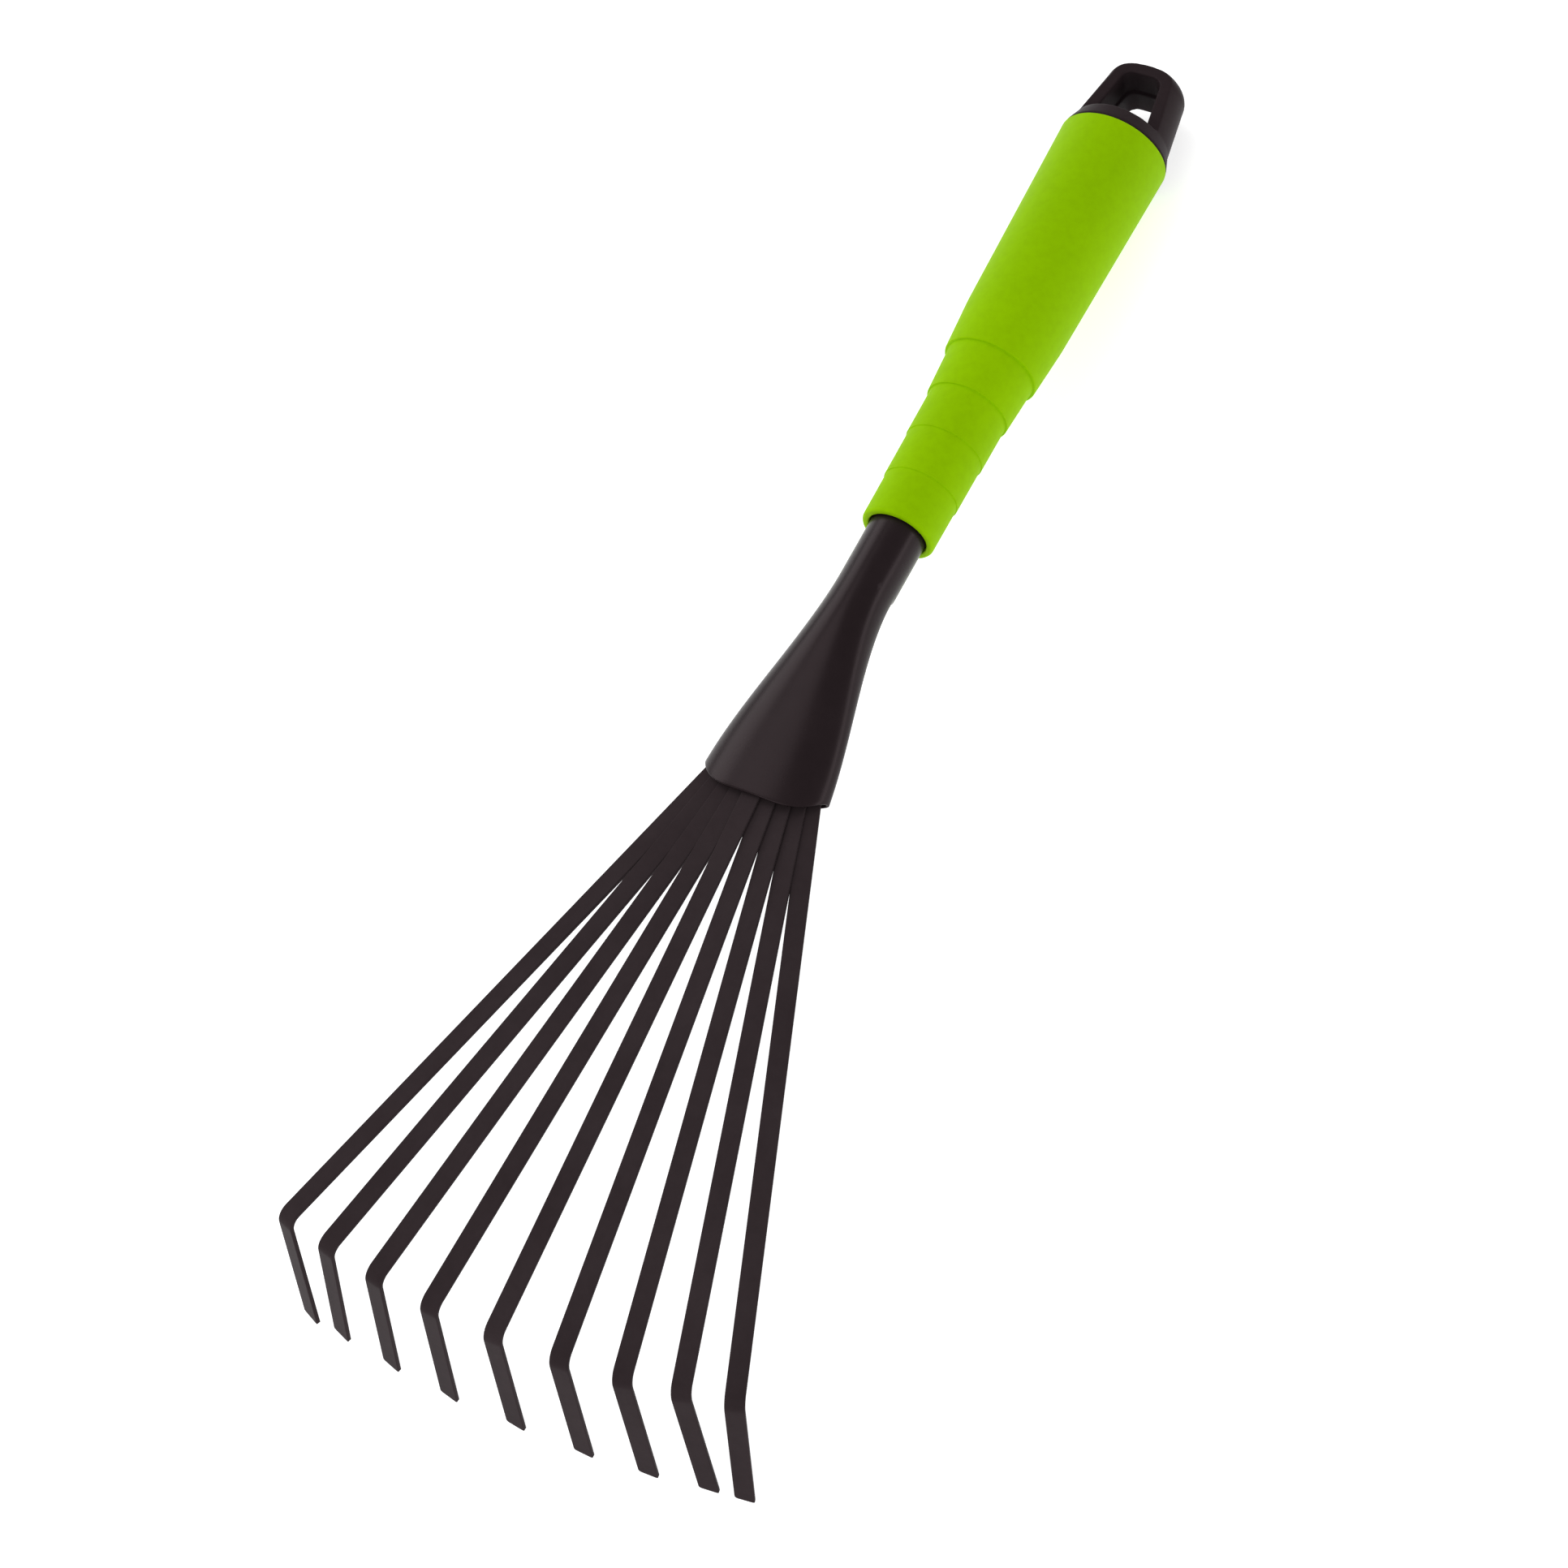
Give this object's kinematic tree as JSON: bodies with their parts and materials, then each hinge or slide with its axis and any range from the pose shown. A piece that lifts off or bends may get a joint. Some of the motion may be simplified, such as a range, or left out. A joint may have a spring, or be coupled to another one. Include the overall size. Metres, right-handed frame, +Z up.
{
  "type": "leaf rake",
  "caption": "Short one-hand fan rake: hooked flat steel tines fanned from a flared steel socket, a stepped soft grip and an end cap with a hang loop.",
  "frame": {"origin": "under the middle of the rake's length, on the ground it rests on", "axes": "+Z up, +Y from the tines towards the hang loop, +X across the fan; the rake rests on the tips of its outer hooks and on the edge of the grip, so the handle slopes down towards the loop"},
  "size_m": [0.1348, 0.4163, 0.0493],
  "materials": {
    "tine_steel": "satin black coating on spring steel strip",
    "socket_steel": "satin black coating on steel tube",
    "core_plastic": "matt black polypropylene",
    "grip_rubber": "matt green thermoplastic rubber",
    "cap_plastic": "fine-grained satin black plastic"
  },
  "bodies": {
    "root": {"tine_1": "tine_steel", "tine_2": "tine_steel", "tine_3": "tine_steel", "tine_4": "tine_steel", "tine_5": "tine_steel", "tine_6": "tine_steel", "tine_7": "tine_steel", "tine_8": "tine_steel", "tine_9": "tine_steel", "socket_tube": "socket_steel", "handle_core": "core_plastic", "grip_sleeve": "grip_rubber", "end_cap": "cap_plastic"}
  },
  "joints": []
}
